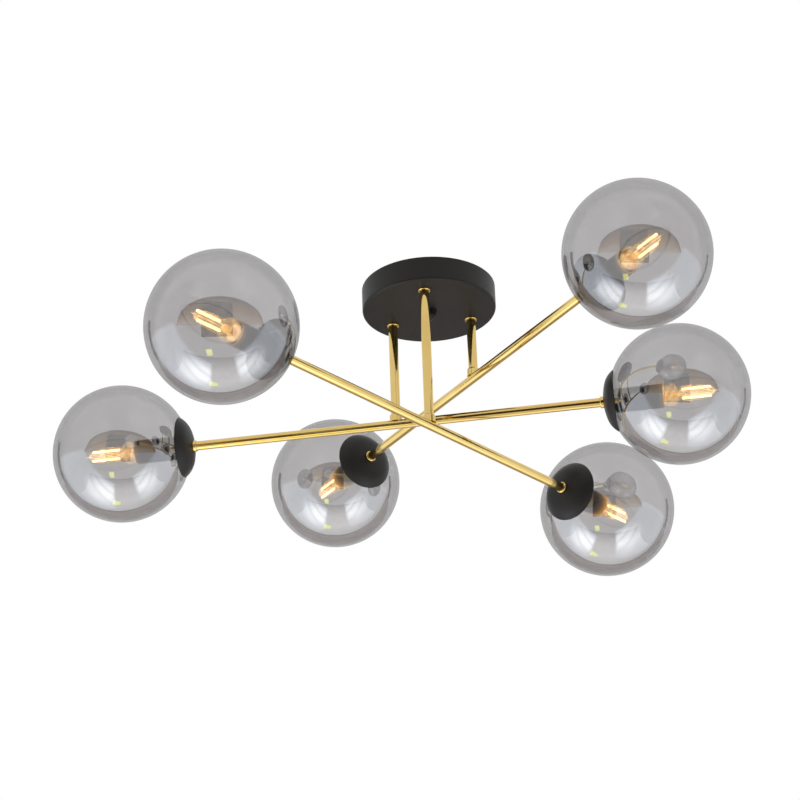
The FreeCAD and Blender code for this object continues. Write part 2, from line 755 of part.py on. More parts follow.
def make_collar(arm):
    """Collar that turns on the stem's foot, with its lower edge saddled over the arm tube."""
    body = new_body("collar_" + arm)
    revolve(body, [
        ("stem_hole_radius", "collar_bottom"),
        ("collar_radius", "collar_bottom"),
        ("collar_radius", "collar_round_top", "collar_round", "left"),
        ("collar_round_start", "collar_top"),
        ("stem_hole_radius", "collar_top"),
    ])
    saddle = new_sketch(body, "YZ_Plane")
    circle(saddle, "saddle_radius")
    pocket(body, saddle, "collar_width", both_ways=True)
    body.Placement = arm_placement(arm)
    keep("collar_" + arm, body)


def make_arm_tube(arm):
    """Straight tube from lampholder to lampholder, with a hole under the stem for the wires."""
    body = new_body("arm_tube_" + arm)
    section = new_sketch(body, "YZ_Plane")
    circle(section, "tube_radius")
    circle(section, "tube_bore_radius")
    pad(body, section, "arm_length", both_ways=True)
    wire_hole = new_sketch(body, "XY_Plane")
    circle(wire_hole, "wire_hole_radius")
    pocket(body, wire_hole, "collar_top", reversed_way=True)
    body.Placement = arm_placement(arm)
    keep("arm_tube_" + arm, body)


# Lamps, each about its own globe's centre with Z pointing back along the arm


def end_ring(name):
    """Rounded ring that clamps the cup from outside."""
    body = new_body(name)
    revolve(body, [
        ("cup_bore_radius", "cup_top_at_bore"),
        ("end_ring_radius", "cup_top_at_bore"),
        ("end_ring_radius", "end_ring_round_end", "end_ring_round", "left"),
        ("end_ring_round_start", "end_ring_end"),
        ("cup_bore_radius", "end_ring_end"),
    ])
    return body


def gallery(name):
    """Ring inside the cup with three tabs that the globe's lugs turn behind."""
    body = new_body(name)
    revolve(body, [
        ("gallery_inner_radius", "gallery_foot"),
        ("gallery_radius", "gallery_foot"),
        ("gallery_radius", "gallery_seat"),
        ("gallery_inner_radius", "gallery_seat"),
    ])
    plan = new_sketch(body, "XY_Plane", "gallery_foot")
    trace(plan, [
        ("gallery_tab_edge", "gallery_tab_half_width", "gallery_tab_radius", "right"),
        ("gallery_tab_edge", "-gallery_tab_half_width"),
        ("gallery_tab_root_edge", "-gallery_tab_half_width", "gallery_mid_radius", "left"),
        ("gallery_tab_root_edge", "gallery_tab_half_width"),
    ])
    polar(body, pad(body, plan, "gallery_tab_thickness"), LUG_COUNT)
    return body


def lampholder(name):
    """Plastic sleeve on the tube's end, hollow for the wires and for the bulb's cap."""
    body = new_body(name)
    revolve(body, [
        ("holder_bore_radius", "holder_base"),
        ("holder_bore_radius", "holder_thread_end"),
        ("wire_hole_radius", "holder_thread_end"),
        ("wire_hole_radius", "holder_core_floor"),
        ("holder_core_radius", "holder_core_floor"),
        ("holder_core_radius", "holder_recess_floor"),
        ("holder_recess_radius", "holder_recess_floor"),
        ("holder_recess_radius", "holder_mouth_reach"),
        ("holder_radius", "holder_mouth_reach"),
        ("holder_radius", "holder_skirt_end", "holder_dome_radius", "left"),
        ("holder_boss_radius", "holder_boss_end"),
        ("holder_boss_radius", "holder_base"),
    ])
    return body


def screw_shell(name):
    """Thin metal sleeve in the lampholder that the bulb's cap screws into."""
    body = new_body(name)
    section = new_sketch(body, "XY_Plane", "screw_shell_start")
    circle(section, "screw_shell_radius")
    circle(section, "screw_shell_outer_radius")
    pad(body, section, "screw_shell_length")
    return body


def centre_contact(name):
    """Disc on the floor of the lampholder that the tip of the bulb's cap presses on."""
    body = new_body(name)
    plan = new_sketch(body, "XY_Plane", "contact_top")
    circle(plan, "contact_radius")
    pad(body, plan, "contact_height")
    return body


def bulb_cap(name):
    """The bulb's metal screw cap with its insulator and tip contact."""
    body = new_body(name)
    revolve(body, [
        (None, "cap_rim_reach"),
        ("cap_shell_radius", "cap_rim_reach"),
        ("cap_shell_radius", "cap_shell_end"),
        ("cap_contact_radius", "cap_insulator_end"),
        ("cap_contact_radius", "cap_end"),
        (None, "cap_end"),
    ])
    return body


def filament_set(name):
    """Glass mount with two wire crosses that carry four upright filaments."""
    pieces = [primitive("Cylinder", name + "_mount", Radius="bulb_mount_radius",
                        Height="bulb_mount_length")]
    pieces[0].setExpression("Placement.Base.z", "-Sizes.filament_start")
    for number in range(FILAMENT_COUNT):
        stick = primitive("Box", f"{name}_stick_{number}", Length="filament_thickness",
                          Width="filament_thickness", Height="filament_length")
        turn = FreeCAD.Rotation(UP, number * FULL_TURN / FILAMENT_COUNT)
        corner = Vector(size("filament_offset"), -size("half_filament"), -size("filament_end"))
        stick.Placement = FreeCAD.Placement(turn.multVec(corner), turn)
        pieces.append(stick)
    for end in ("filament_start", "filament_end"):
        for across in (True, False):
            bar = primitive("Box", f"{name}_{end}_{int(across)}", Height="filament_wire",
                            Length="filament_span" if across else "filament_wire",
                            Width="filament_wire" if across else "filament_span")
            half_span, half_wire = size("half_filament_span"), size("half_wire")
            reach = (-half_span, -half_wire) if across else (-half_wire, -half_span)
            bar.Placement.Base = Vector(*reach, -size(end))
            pieces.append(bar)
    joined = document.addObject("Part::MultiFuse", name)
    joined.Shapes = pieces
    return joined


def cup(name):
    """Shallow pressed cup over the globe's neck, its rim following the glass."""
    body = new_body(name)
    revolve(body, [
        ("cup_bore_radius", "cup_top_at_bore", "cup_crown_radius", "right"),
        ("cup_break_radius", "cup_break", "cup_shoulder_radius", "right"),
        ("cup_rim_radius", "cup_rim"),
        ("cup_inner_rim_radius", "cup_inner_rim", "cup_inner_shoulder_radius", "left"),
        ("cup_inner_break_radius", "cup_inner_break", "cup_inner_crown_radius", "left"),
        ("cup_bore_radius", "cup_inner_top_at_bore"),
    ])
    return body


def globe(name):
    """Blown glass ball with a short neck and three lugs round the neck's end."""
    body = new_body(name)
    revolve(body, [
        (None, "-globe_radius", "globe_radius", "left"),
        ("neck_radius", "neck_foot"),
        ("neck_radius", "neck_end"),
        ("neck_bore_radius", "neck_end"),
        ("neck_bore_radius", "neck_bore_foot", "globe_inner_radius", "right"),
        (None, "-globe_inner_radius"),
    ])
    plan = new_sketch(body, "XY_Plane", "lug_foot")
    trace(plan, [
        ("lug_root_edge", "-lug_half_width"),
        ("lug_edge", "-lug_half_width", "lug_radius", "left"),
        ("lug_edge", "lug_half_width"),
        ("lug_root_edge", "lug_half_width"),
    ])
    polar(body, pad(body, plan, "lug_thickness"), LUG_COUNT)
    return body


def bulb_glass(name):
    """Candle-shaped glass, drawn in to the cap at one end and to a small round tip at the other."""
    body = new_body(name)
    revolve(body, [
        ("bulb_neck_radius", "cap_rim_reach", "bulb_neck_curve", "right"),
        ("bulb_radius", "-bulb_widest_reach", "bulb_tip_curve", "right"),
        ("bulb_tip_break_radius", "-bulb_tip_break_reach", "bulb_tip_round", "right"),
        (None, "-bulb_tip"),
        (None, "-bulb_inner_tip", "bulb_inner_tip_round", "left"),
        ("bulb_inner_tip_radius", "-bulb_inner_tip_reach", "bulb_inner_tip_curve", "left"),
        ("bulb_inner_radius", "-bulb_widest_reach", "bulb_inner_neck_curve", "left"),
        ("bulb_inner_neck_radius", "cap_rim_reach"),
    ])
    return body


SHARED_BY_ARM = {
    "end_rings": end_ring,
    "galleries": gallery,
    "lampholders": lampholder,
    "screw_shells": screw_shell,
    "centre_contacts": centre_contact,
    "bulb_caps": bulb_cap,
    "filaments": filament_set,
}
OWN_BY_LAMP = {"cup": cup, "globe": globe, "bulb_glass": bulb_glass}


def make_lamps(arm):
    """Everything at the two ends of one arm."""
    for label, maker in SHARED_BY_ARM.items():
        pair = []
        for side in SIDES:
            piece = maker(f"{label}_{arm}_{side}")
            piece.Placement = lamp_placement(arm, side)
            pair.append(piece)
        keep(f"{label}_{arm}", group(f"{label}_{arm}", pair))
    for label, maker in OWN_BY_LAMP.items():
        for side in SIDES:
            piece = maker(f"{label}_{arm}_{side}")
            piece.Placement = lamp_placement(arm, side)
            keep(f"{label}_{arm}_{side}", piece)


def check_document():
    """Stop the build on any object that failed or any sub-part that isn't sound."""
    document.recompute()
    for thing in document.Objects:
        if "Invalid" in thing.State or "Error" in thing.State:
            raise RuntimeError(f"{thing.Name}: {thing.State}")
    for label, thing in nodes.items():
        if thing.Shape.isNull() or not thing.Shape.isValid() or thing.Shape.Volume <= 0:
            raise RuntimeError(f"{label}: not a sound solid")


fill_sheet()
make_bracket()
make_stud()
make_canopy()
make_cap_nut()
make_terminal_block()
make_bracket_screws()
make_terminal_screws()
make_stem_fittings()
for arm_name in ARMS:
    make_stem(arm_name)
    make_collar(arm_name)
    make_arm_tube(arm_name)
    make_lamps(arm_name)
check_document()
os.makedirs("parts", exist_ok=True)
for node_label, sub_part in nodes.items():
    sub_part.Shape.exportStep(f"parts/{node_label}.step")
    print(node_label, round(sub_part.Shape.Volume, 1), len(sub_part.Shape.Solids))
print(len(nodes), "nodes")
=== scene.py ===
import bpy
import bmesh
import json
import math
from mathutils import Matrix, Vector


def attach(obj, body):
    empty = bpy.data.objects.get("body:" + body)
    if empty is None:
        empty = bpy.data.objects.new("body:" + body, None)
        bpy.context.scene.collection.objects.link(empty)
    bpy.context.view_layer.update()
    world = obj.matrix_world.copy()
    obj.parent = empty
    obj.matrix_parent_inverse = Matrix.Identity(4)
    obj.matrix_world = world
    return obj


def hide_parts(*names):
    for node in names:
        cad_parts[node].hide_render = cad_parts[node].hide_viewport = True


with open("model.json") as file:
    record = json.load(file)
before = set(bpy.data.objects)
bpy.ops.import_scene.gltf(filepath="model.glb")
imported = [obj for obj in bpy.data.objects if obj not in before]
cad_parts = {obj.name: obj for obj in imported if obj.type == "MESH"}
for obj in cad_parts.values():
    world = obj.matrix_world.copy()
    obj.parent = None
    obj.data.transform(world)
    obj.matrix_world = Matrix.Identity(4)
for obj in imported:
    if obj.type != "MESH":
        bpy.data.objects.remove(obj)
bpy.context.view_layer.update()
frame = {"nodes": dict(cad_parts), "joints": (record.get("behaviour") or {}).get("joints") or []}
NODES = frame["nodes"]
JOINT_OF = {joint["child"]: joint for joint in frame["joints"]}
ARMS = ("low", "mid", "high")
SIDES = ("left", "right")
MM = 0.001


# Node helpers


def new_material(name):
    """An empty node material with its shader and output."""
    material = bpy.data.materials.new(name)
    material.use_nodes = True
    tree = material.node_tree
    tree.nodes.clear()
    output = tree.nodes.new("ShaderNodeOutputMaterial")
    shader = tree.nodes.new("ShaderNodeBsdfPrincipled")
    tree.links.new(shader.outputs["BSDF"], output.inputs["Surface"])
    return material, tree, shader, output


def add_noise(tree, scale, detail=3.0, stretch=(1, 1, 1)):
    """Object-space noise, stretched along the axes."""
    coordinates = tree.nodes.new("ShaderNodeTexCoord")
    mapping = tree.nodes.new("ShaderNodeMapping")
    mapping.inputs["Scale"].default_value = stretch
    noise = tree.nodes.new("ShaderNodeTexNoise")
    noise.inputs["Scale"].default_value = scale
    noise.inputs["Detail"].default_value = detail
    tree.links.new(coordinates.outputs["Object"], mapping.inputs["Vector"])
    tree.links.new(mapping.outputs["Vector"], noise.inputs["Vector"])
    return noise


def add_ramp(tree, source, stops):
    """A colour ramp on a value."""
    ramp = tree.nodes.new("ShaderNodeValToRGB")
    ramp.color_ramp.elements[0].position = stops[0][0]
    ramp.color_ramp.elements[0].color = (*stops[0][1], 1)
    ramp.color_ramp.elements[1].position = stops[-1][0]
    ramp.color_ramp.elements[1].color = (*stops[-1][1], 1)
    for position, color in stops[1:-1]:
        element = ramp.color_ramp.elements.new(position)
        element.color = (*color, 1)
    tree.links.new(source, ramp.inputs["Fac"])
    return ramp


def add_range(tree, source, low, high, start=0.0, end=1.0, smooth=False):
    """Map a value between start and end to a range, eased at both ends where it is smooth."""
    mapped = tree.nodes.new("ShaderNodeMapRange")
    if smooth:
        mapped.interpolation_type = "SMOOTHSTEP"
    mapped.inputs["From Min"].default_value = start
    mapped.inputs["From Max"].default_value = end
    mapped.inputs["To Min"].default_value = low
    mapped.inputs["To Max"].default_value = high
    tree.links.new(source, mapped.inputs["Value"])
    return mapped.outputs["Result"]


def add_math(tree, operation, first, second=0.0):
    """A sum on sockets or plain numbers."""
    node = tree.nodes.new("ShaderNodeMath")
    node.operation = operation
    for socket, value in zip(node.inputs, (first, second)):
        if isinstance(value, float):
            socket.default_value = value
        else:
            tree.links.new(value, socket)
    return node.outputs["Value"]


def add_bump(tree, shader, source, strength, distance):
    """A fine bump on the shader's normal."""
    bump = tree.nodes.new("ShaderNodeBump")
    bump.inputs["Strength"].default_value = strength
    bump.inputs["Distance"].default_value = distance
    tree.links.new(source, bump.inputs["Height"])
    tree.links.new(bump.outputs["Normal"], shader.inputs["Normal"])


def see_through(tree, tint):
    """Tinted shader that light passes straight through."""
    clear = tree.nodes.new("ShaderNodeBsdfTransparent")
    clear.inputs["Color"].default_value = (*tint, 1)
    return clear.outputs["BSDF"]


def mix_shaders(tree, share, first, second):
    """Mix of two shaders by the second one's share."""
    mix = tree.nodes.new("ShaderNodeMixShader")
    tree.links.new(share, mix.inputs["Fac"])
    tree.links.new(first, mix.inputs[1])
    tree.links.new(second, mix.inputs[2])
    return mix.outputs["Shader"]


def looked_at(tree):
    """1 where the camera, a reflection or glass shows the surface, else 0."""
    path = tree.nodes.new("ShaderNodeLightPath")
    seen = path.outputs["Is Camera Ray"]
    for ray in ("Is Glossy Ray", "Is Transmission Ray"):
        seen = add_math(tree, "MAXIMUM", seen, path.outputs[ray])
    return seen


def axes_matrix(first, second, third, place):
    """Matrix with three given axes, at a place."""
    return Matrix((
        (first.x, second.x, third.x, place.x),
        (first.y, second.y, third.y, place.y),
        (first.z, second.z, third.z, place.z),
        (0, 0, 0, 1),
    ))


# Materials

NOISE_LOW = 0.3
NOISE_HIGH = 0.7
FINER = 6
INNER_MIRROR_SHARE = 0.2
TINT_SCALE = 9.0
WAVE_SCALE = 14.0
WAVE_BUMP = (0.03, 0.001)
RIM_START = 0.45
RIM_END = 0.85
GLOW_DIM_SHARE = 0.85
# Painted amber glow in the bulbs' glass, standing in for the filaments' light: its streaks,
# colours, strength and opacities
AMBER_SCALE = 260.0
AMBER_STRETCH = (1, 1, 0.35)
PAINTED_AMBER_GLOW_STOPS = [(0.34, (0.46, 0.26, 0.08)), (0.5, (0.93, 0.63, 0.27)), (0.66, (1.0, 0.87, 0.54))]
PAINTED_AMBER_GLOW_STRENGTH = 0.95
AMBER_THIN_AT = 0.35
AMBER_THICK_AT = 0.65


def speckled(name, dark, light, roughness, scale, metallic=0.0, bump=(0.1, 0.0002),
             specular=0.5):
    """Opaque finish whose colour, roughness and surface vary a little."""
    material, tree, shader, _ = new_material(name)
    noise = add_noise(tree, scale, 4.0)
    ramp = add_ramp(tree, noise.outputs["Fac"], [(NOISE_LOW, dark), (NOISE_HIGH, light)])
    tree.links.new(ramp.outputs["Color"], shader.inputs["Base Color"])
    rough = add_range(tree, noise.outputs["Fac"], roughness[0], roughness[1])
    tree.links.new(rough, shader.inputs["Roughness"])
    shader.inputs["Metallic"].default_value = metallic
    shader.inputs["Specular IOR Level"].default_value = specular
    fine = add_noise(tree, scale * FINER, 2.0)
    add_bump(tree, shader, fine.outputs["Fac"], *bump)
    return material


def glass(name, dark, light, mirror, ior, rim, rim_share, shadow):
    """Glass whose coated face throws the mirror share of light back, less from within. Towards
    its rim more and more light passes straight on, tinted, as through a longer way in the
    glass. Shadow rays pass, so that what is inside stays lit."""
    material, tree, shader, output = new_material(name)
    noise = add_noise(tree, TINT_SCALE, 2.0)
    ramp = add_ramp(tree, noise.outputs["Fac"], [(NOISE_LOW, dark), (NOISE_HIGH, light)])
    tree.links.new(ramp.outputs["Color"], shader.inputs["Base Color"])
    side = tree.nodes.new("ShaderNodeNewGeometry")
    coat = add_range(tree, side.outputs["Backfacing"], mirror, mirror * INNER_MIRROR_SHARE)
    tree.links.new(coat, shader.inputs["Metallic"])
    shader.inputs["Roughness"].default_value = 0.0
    shader.inputs["IOR"].default_value = ior
    shader.inputs["Transmission Weight"].default_value = 1.0
    wave = add_noise(tree, WAVE_SCALE, 1.0)
    add_bump(tree, shader, wave.outputs["Fac"], *WAVE_BUMP)
    facing = tree.nodes.new("ShaderNodeLayerWeight")
    facing.inputs["Blend"].default_value = 0.5
    share = add_range(tree, facing.outputs["Facing"], 0.0, rim_share, RIM_START, RIM_END)
    soft = mix_shaders(tree, share, shader.outputs["BSDF"], see_through(tree, rim))
    path = tree.nodes.new("ShaderNodeLightPath")
    lit = mix_shaders(tree, path.outputs["Is Shadow Ray"], soft, see_through(tree, shadow))
    tree.links.new(lit, output.inputs["Surface"])
    return material


def glowing(name, color, seen, cast, scale):
    """Glowing material, for the filaments that are the lamps and for glow painted on parts that
    are
    no lamps: how bright it looks, and how strongly it lights what is round it.
    """
    material, tree, shader, _ = new_material(name)
    noise = add_noise(tree, scale, 2.0)
    dim = tuple(channel * GLOW_DIM_SHARE for channel in color)
    ramp = add_ramp(tree, noise.outputs["Fac"], [(NOISE_LOW, dim), (NOISE_HIGH, color)])
    tree.links.new(ramp.outputs["Color"], shader.inputs["Base Color"])
    tree.links.new(ramp.outputs["Color"], shader.inputs["Emission Color"])
    path = tree.nodes.new("ShaderNodeLightPath")
    strength = add_range(tree, path.outputs["Is Diffuse Ray"], seen, cast)
    tree.links.new(strength, shader.inputs["Emission Strength"])
    shader.inputs["Roughness"].default_value = 0.4
    return material


def painted_amber_glow(name, thin, thick):
    """Glass round the wires' foot with an amber glow painted on in streaks along its length,
    standing in for the filaments' light, between two opacities."""
    material, tree, shader, _ = new_material(name)
    noise = add_noise(tree, AMBER_SCALE, 3.0, AMBER_STRETCH)
    ramp = add_ramp(tree, noise.outputs["Fac"], PAINTED_AMBER_GLOW_STOPS)
    tree.links.new(ramp.outputs["Color"], shader.inputs["Base Color"])
    tree.links.new(ramp.outputs["Color"], shader.inputs["Emission Color"])
    shader.inputs["Emission Strength"].default_value = PAINTED_AMBER_GLOW_STRENGTH
    opacity = add_range(tree, noise.outputs["Fac"], thin, thick, AMBER_THIN_AT, AMBER_THICK_AT)
    tree.links.new(opacity, shader.inputs["Alpha"])
    shader.inputs["Roughness"].default_value = 0.2
    return material


BRASS = speckled("polished_brass", (0.63, 0.45, 0.15), (0.70, 0.51, 0.19), (0.07, 0.11), 30.0,
                 metallic=1.0, bump=(0.01, 0.0001))
BLACK = speckled("satin_black", (0.012, 0.0107, 0.0098), (0.018, 0.016, 0.0145), (0.42, 0.50),
                 900.0, bump=(0.12, 0.0001), specular=0.22)
STEEL = speckled("zinc_steel", (0.46, 0.47, 0.48), (0.66, 0.67, 0.68), (0.25, 0.42), 160.0,
                 metallic=1.0, bump=(0.1, 0.0002))
BLOCK = speckled("block_white_plastic", (0.72, 0.71, 0.67), (0.80, 0.79, 0.75), (0.40, 0.52),
                 220.0, bump=(0.1, 0.0001))
CONTACT = speckled("contact_brass", (0.62, 0.46, 0.22), (0.78, 0.60, 0.32), (0.20, 0.34), 200.0,
                   metallic=1.0)
CAP = speckled("cap_aluminium", (0.70, 0.69, 0.67), (0.82, 0.81, 0.79), (0.18, 0.30), 240.0,
               metallic=1.0)
SMOKE = glass("smoke_glass_coated", (0.51, 0.50, 0.50), (0.55, 0.54, 0.54), 0.33, 1.45,
              (0.61, 0.605, 0.61), 0.92, (0.78, 0.78, 0.79))
SMOKE_INSIDE = glass("smoke_glass_inside", (0.68, 0.67, 0.67), (0.72, 0.71, 0.71), 0.0, 1.45,
                     (0.93, 0.93, 0.93), 0.95, (0.78, 0.78, 0.79))
CLEAR = glass("bulb_clear_glass", (0.985, 0.98, 0.96), (1.0, 0.995, 0.985), 0.0, 1.07,
              (0.99, 0.99, 0.985), 0.9, (0.97, 0.96, 0.94))
FILAMENT = glowing("filament_glow", (1.0, 0.66, 0.28), 7.5, 60.0, 400.0)
# The glass mount is no lamp: its glow is painted, standing in for the filaments' light
MOUNT_PAINTED_GLOW = glowing("glass_mount_painted_glow", (1.0, 0.70, 0.33), 0.65, 0.8, 300.0)
# The glass foot round the wires glows amber: painted glow standing in for the filaments' light
FOOT_PAINTED_GLOW = painted_amber_glow("amber_painted_glow_foot", 0.50, 0.90)
# Sheets of painted amber glow where there is only light: a halo round the foot and a glow along
# the filaments
HALO_PAINTED_GLOW = painted_amber_glow("amber_lit_haze", 0.03, 0.27)
AIR_PAINTED_GLOW = painted_amber_glow("amber_painted_glow_air", 0.03, 0.15)
# The support wires are no lamps: their glow is painted, standing in for the filaments' light
WIRE_PAINTED_GLOW = glowing("support_wire_painted_glow", (1.0, 0.74, 0.40), 2.2, 2.2, 400.0)

# A node takes the material of the first of these that its name starts with. The lampholders'
# materials are made below.
MATERIAL_OF = (
    ("canopy_cap_nut", BLACK), ("canopy", BLACK), ("cup_", BLACK), ("stem_rings", BRASS),
    ("stem_nuts", STEEL), ("stem_", BRASS), ("collar", BRASS), ("arm_tube", BRASS),
    ("end_rings", BRASS), ("mounting_bracket", STEEL), ("centre_stud", STEEL),
    ("stud_nut", STEEL), ("earth_screw", STEEL), ("block_screw", STEEL),
    ("terminal_screws", STEEL), ("terminal_block", BLOCK), ("galleries", STEEL),
    ("screw_shells", CONTACT), ("centre_contacts", CONTACT), ("bulb_caps", CAP),
    ("filaments", FILAMENT), ("globe", SMOKE), ("bulb_glass", CLEAR),
)


def dress_nodes():
    """Give every carried-over node its material."""
    for name, node in NODES.items():
        for start, material in MATERIAL_OF:
            if name.startswith(start):
                node.data.materials.clear()
                node.data.materials.append(material)
                break


# In metres: how far back the far lamps' globes lie at least, and how far a sleeve's mouth is
# from its globe's centre. Each pair gives the mouth's place on the ramp of painted amber glow,
# and the distance from the globe's centre at which the painted glow ends.
FAR_LAMP = 0.15
MOUTH_REACH = 0.0205
FAR_PAINTED_GLOW = (0.0, 0.036)
NEAR_PAINTED_GLOW = (0.3, 0.026)
# Colours and strength of the amber glow painted on the sleeves, standing in for their bulbs'
# light, from the mouth back
MOUTH_PAINTED_GLOW_STOPS = [(0.0, (1.0, 0.52, 0.11)), (0.2, (0.62, 0.31, 0.06)), (0.5, (0.18, 0.09, 0.02)),
               (1.0, (0.0, 0.0, 0.0))]
MOUTH_PAINTED_GLOW_STRENGTH = 1.3


def dress_lampholders(arm):
    """Black sleeves with an amber glow painted on at their mouths, standing in for their bulbs'
    light, by the distance from the globes' centres. On the two far lamps the painted glow is
    brighter and goes further back."""
    node = NODES[f"lampholders_{arm}"]
    material = speckled(f"sleeve_plastic_painted_glow_{arm}", (0.020, 0.020, 0.022), (0.034, 0.034, 0.038),
                        (0.28, 0.36), 300.0, bump=(0.08, 0.0001))
    tree = material.node_tree
    shader = tree.nodes["Principled BSDF"]
    place = tree.nodes.new("ShaderNodeTexCoord")
    reaches = []
    for side in SIDES:
        centre = Vector(JOINT_OF[f"globe_{arm}_{side}"]["pos_m"])
        first, last = FAR_PAINTED_GLOW if centre.y > FAR_LAMP else NEAR_PAINTED_GLOW
        gap = tree.nodes.new("ShaderNodeVectorMath")
        gap.operation = "DISTANCE"
        gap.inputs[1].default_value = node.matrix_world.inverted() @ centre
        tree.links.new(place.outputs["Object"], gap.inputs[0])
        reaches.append(add_range(tree, gap.outputs["Value"], first, 1.0, MOUTH_REACH, last))
    # Painted amber glow on the sleeves' mouths, standing in for the bulbs' light, fading back
    # from each mouth
    ramp = add_ramp(tree, add_math(tree, "MINIMUM", *reaches), MOUTH_PAINTED_GLOW_STOPS)
    tree.links.new(ramp.outputs["Color"], shader.inputs["Emission Color"])
    shader.inputs["Emission Strength"].default_value = MOUTH_PAINTED_GLOW_STRENGTH
    node.data.materials.clear()
    node.data.materials.append(material)


dress_nodes()
for arm_name in ARMS:
    dress_lampholders(arm_name)


# Detailed pieces in the lamps, each in millimetres about its globe's centre with Z back along
# the arm


def lamp_matrix(arm, side):
    """From a lamp's own millimetres to the world's metres."""
    joint = JOINT_OF[f"globe_{arm}_{side}"]
    back = -Vector(joint["axis"]).normalized()
    up = Vector((0, 0, 1))
    across = up.cross(back)
    centre = Vector(joint["pos_m"])
    return Matrix((
        (across.x * MM, up.x * MM, back.x * MM, centre.x),
        (across.y * MM, up.y * MM, back.y * MM, centre.y),
        (across.z * MM, up.z * MM, back.z * MM, centre.z),
        (0, 0, 0, 1),
    ))


def add_mesh(name, mesh, material, place, body, smooth_angle=35.0):
    """Link a mesh piece that is built in a lamp's millimetres and let it ride on a body."""
    mesh.transform(place)
    mesh.update()
    mesh.polygons.foreach_set("use_smooth", [True] * len(mesh.polygons))
    mesh.set_sharp_from_angle(angle=math.radians(smooth_angle))
    mesh.materials.clear()
    mesh.materials.append(material)
    piece = bpy.data.objects.new(name, mesh)
    bpy.context.scene.collection.objects.link(piece)
    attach(piece, body)
    return piece


MERGE_GAP = 0.0005


def lathe(outline, steps):
    """A mesh turned about Z from (radius, height) points; a closed outline makes a closed
    shell."""
    mesh = bpy.data.meshes.new("lathe")
    form = bmesh.new()
    points = [form.verts.new((radius, 0, height)) for radius, height in outline]
    edges = [form.edges.new(pair) for pair in zip(points, points[1:])]
    bmesh.ops.spin(form, geom=points + edges, cent=(0, 0, 0), axis=(0, 0, 1),
                   angle=2 * math.pi, steps=steps, use_duplicate=False)
    bmesh.ops.remove_doubles(form, verts=form.verts, dist=MERGE_GAP)
    bmesh.ops.recalc_face_normals(form, faces=form.faces)
    form.to_mesh(mesh)
    form.free()
    return mesh


def rods(paths, sides):
    """Round rods along paths of points; every path is (points, radius)."""
    form = bmesh.new()
    for points, radius in paths:
        rings = []
        for index, point in enumerate(points):
            before = points[max(index - 1, 0)]
            after = points[min(index + 1, len(points) - 1)]
            along = (after - before).normalized()
            turn = along.to_track_quat("Z", "Y").to_matrix()
            ring = []
            for step in range(sides):
                angle = 2 * math.pi * step / sides
                flat = Vector((math.cos(angle) * radius, math.sin(angle) * radius, 0))
                ring.append(form.verts.new(point + turn @ flat))
            rings.append(ring)
        for lower, upper in zip(rings, rings[1:]):
            for step in range(sides):
                following = (step + 1) % sides
                form.faces.new((lower[step], lower[following], upper[following], upper[step]))
        form.faces.new(list(reversed(rings[0])))
        form.faces.new(rings[-1])
    mesh = bpy.data.meshes.new("rods")
    form.to_mesh(mesh)
    form.free()
    return mesh


# The upper and lower filament look thick and the two beside them thin.
STICK_PLACES = ((0.0, 5.2), (4.2, 0.0), (0.0, -5.2), (-4.2, 0.0))
STICK_RADIUS = 1.35
THIN_RADIUS = 0.32
STICK_TOP = -2.5
STICK_END = -33.0
STICK_STEPS = 6
STICK_SIDES = 10
WIRE_SIDES = 6
LEAD_RADIUS = 0.18
LEAD_FOOT = 1.5
LEAD_FOOT_SHARE = 0.2
LEAD_RISE = 0.8
TIP = STICK_END - 4.0
TIP_BOW_SHARE = 0.12
MIDDLE_WIRE_RADIUS = 0.22
MIDDLE_WIRE_HEIGHTS = (3.0, -16.0, STICK_END - 8.0)

MOUNT_OUTLINE = [
    (0.0, 22.9), (4.6, 22.9), (4.4, 21.5), (3.4, 18.5), (2.7, 14.0), (2.3, 8.0), (2.1, 4.0),
    (1.9, 1.5), (1.5, 0.2), (0.8, -0.4), (0.0, -0.5),
]
FOOT_OUTLINE = [
    (6.6, 19.5), (8.4, 17.4), (9.2, 16.6), (9.2, 16.0), (8.2, 15.5), (6.0, 15.1), (4.6, 14.0),
    (4.2, 11.5), (4.0, 8.5), (4.6, 6.0), (4.3, 3.8), (3.2, 2.8), (2.8, 3.4), (3.8, 4.3),
    (4.1, 6.0), (3.5, 8.5), (3.7, 11.6), (4.1, 14.3), (5.7, 15.6), (7.9, 16.2), (7.9, 17.0),
    (6.0, 19.4), (6.6, 19.5),
]
# Outlines of the sheets of painted amber glow: a halo round the foot and a glow along the
# filaments
PAINTED_HALO_OUTLINE = [
    (9.4, 16.8), (10.8, 14.5), (12.0, 11.5), (12.3, 8.0), (11.4, 5.0), (9.2, 2.4), (6.0, 1.2),
    (6.0, 1.6), (8.9, 2.8), (11.0, 5.3), (11.9, 8.1), (11.6, 11.4), (10.4, 14.4), (9.0, 16.6),
    (9.4, 16.8),
]
PAINTED_AIR_GLOW_OUTLINE = [
    (7.2, 0.6), (8.3, -3.0), (8.6, -12.0), (7.8, -24.0), (5.4, -33.0), (1.6, -38.0),
    (1.4, -37.6), (5.0, -32.8), (7.4, -23.9), (8.2, -12.0), (7.9, -3.1), (6.9, 0.3), (7.2, 0.6),
]
# The end of each turned piece's name, its outline, its steps round and its material
TURNED = (
    ("_mount", MOUNT_OUTLINE, 24, MOUNT_PAINTED_GLOW), ("_foot", FOOT_OUTLINE, 32, FOOT_PAINTED_GLOW),
    ("_haze", PAINTED_HALO_OUTLINE, 32, HALO_PAINTED_GLOW), ("_glow", PAINTED_AIR_GLOW_OUTLINE, 32, AIR_PAINTED_GLOW),
)
TURNED_SMOOTH_ANGLE = 60.0


